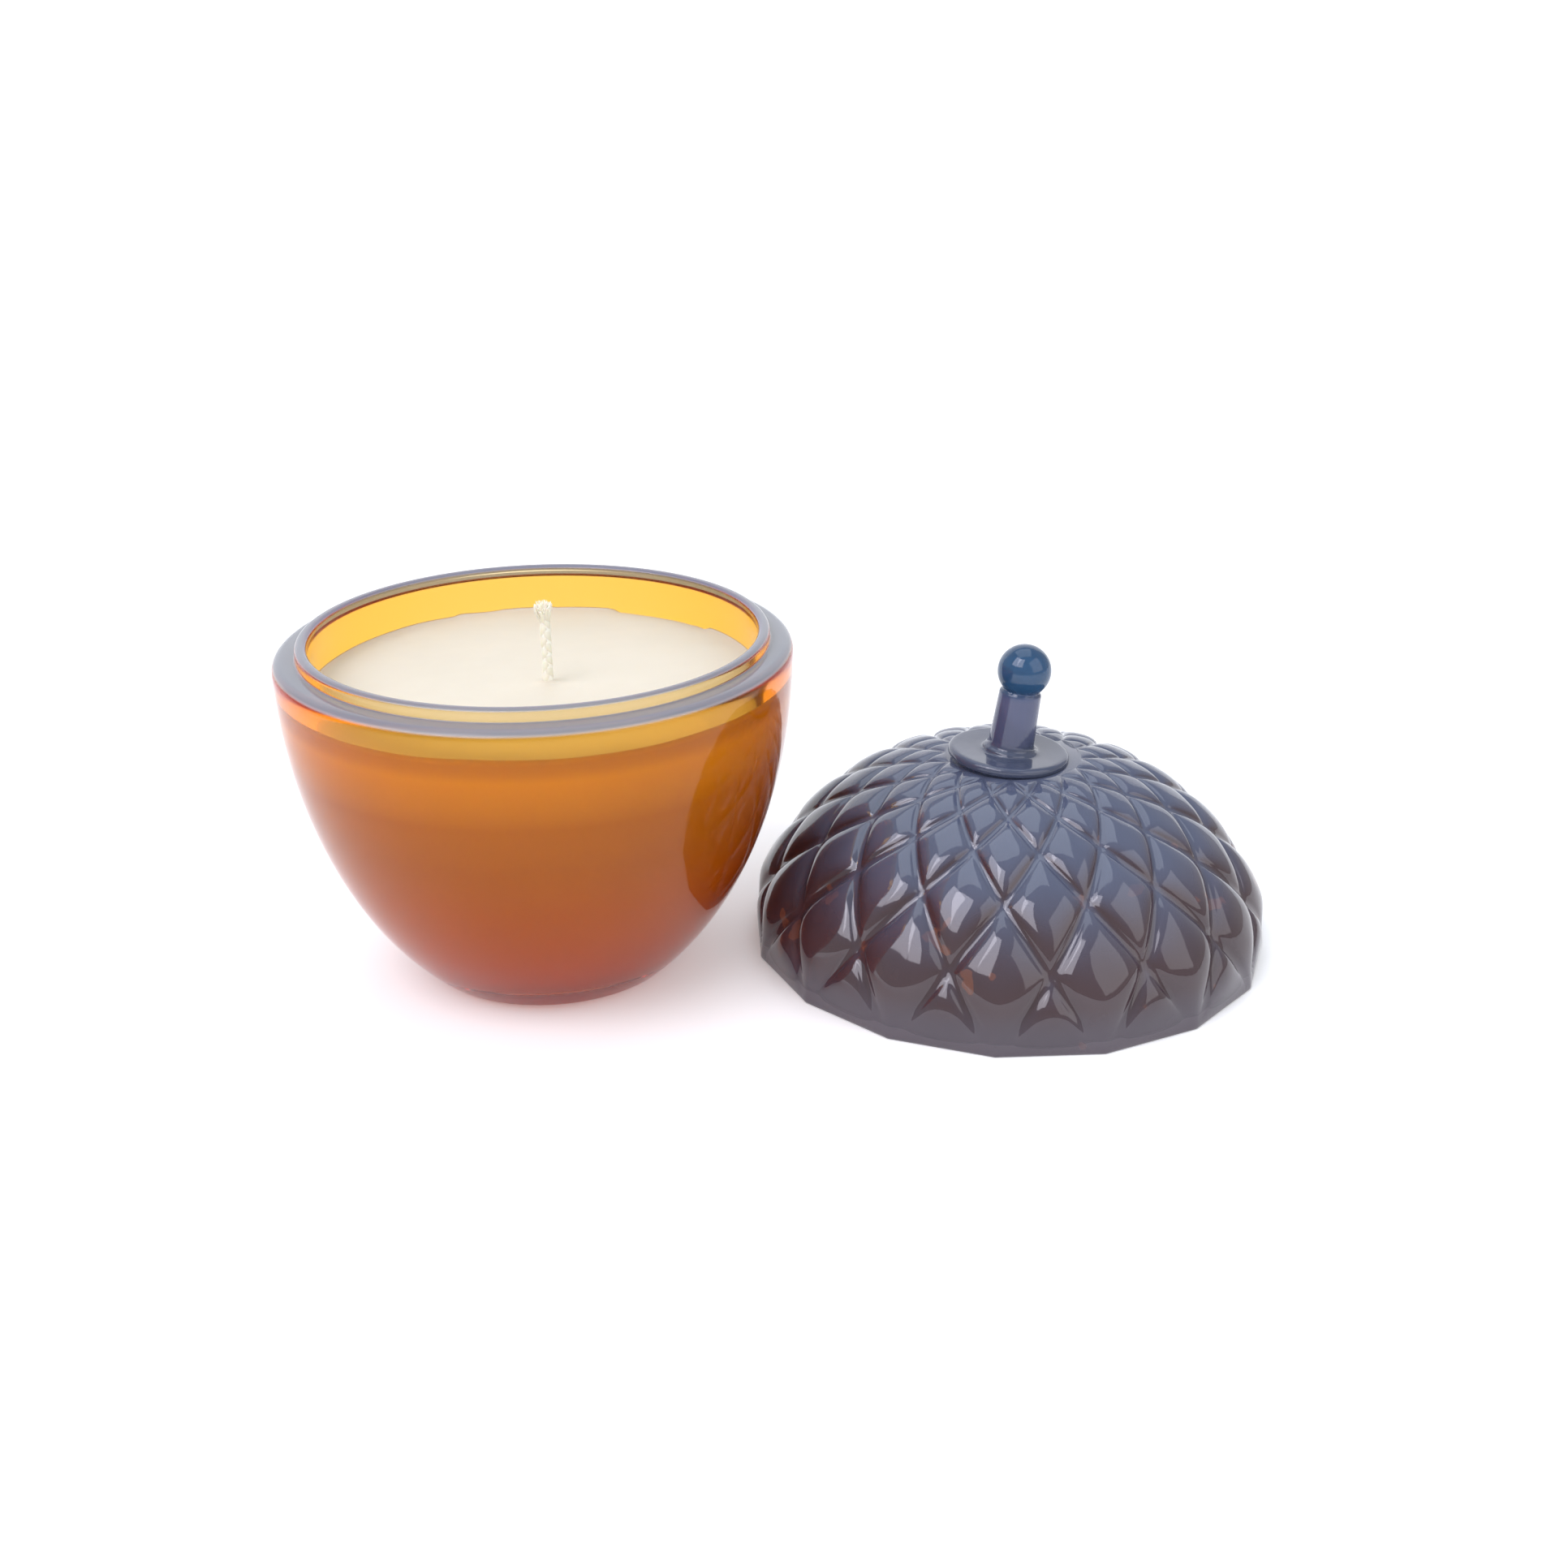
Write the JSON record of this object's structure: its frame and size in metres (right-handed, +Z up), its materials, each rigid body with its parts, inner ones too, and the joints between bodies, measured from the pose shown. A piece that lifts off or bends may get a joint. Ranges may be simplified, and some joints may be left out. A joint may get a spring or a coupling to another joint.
{
  "type": "candle jar",
  "caption": "Acorn-shaped amber glass candle jar with a thick bowl, raised collar, wax fill and wick, beside its diamond-scaled dome cap with a leaning stem and ball.",
  "frame": {"origin": "middle of the jar's foot, on the surface it stands on", "axes": "+Z up along the jar's axis; +X from the jar's axis towards the axis of the cap that stands beside it"},
  "size_m": [0.1798, 0.0958, 0.0705],
  "materials": {
    "amber_glass": "clear pressed glass, fire-polished",
    "candle_wax": "cream wax, soft satin",
    "cotton_wick": "braided cotton primed with wax",
    "tinned_steel": "tinned sheet",
    "foam_sticker": "white adhesive foam",
    "smoky_glass": "dark brown glass with a blue-grey sheen, fire-polished",
    "blue_glass": "dark blue-grey glass, fire-polished"
  },
  "bodies": {
    "jar": {"jar_bowl": "amber_glass", "wax_fill": "candle_wax", "wick": "cotton_wick", "wick_tab": "tinned_steel", "tab_sticker": "foam_sticker"},
    "cap": {"cap_dome": "smoky_glass", "cap_finial": "blue_glass"}
  },
  "joints": [
    {"name": "cap_lift", "type": "slide", "parent": "jar", "child": "cap", "axis": [0.2419, 0, 0.9703], "range_m": [0, 0.085]}
  ]
}
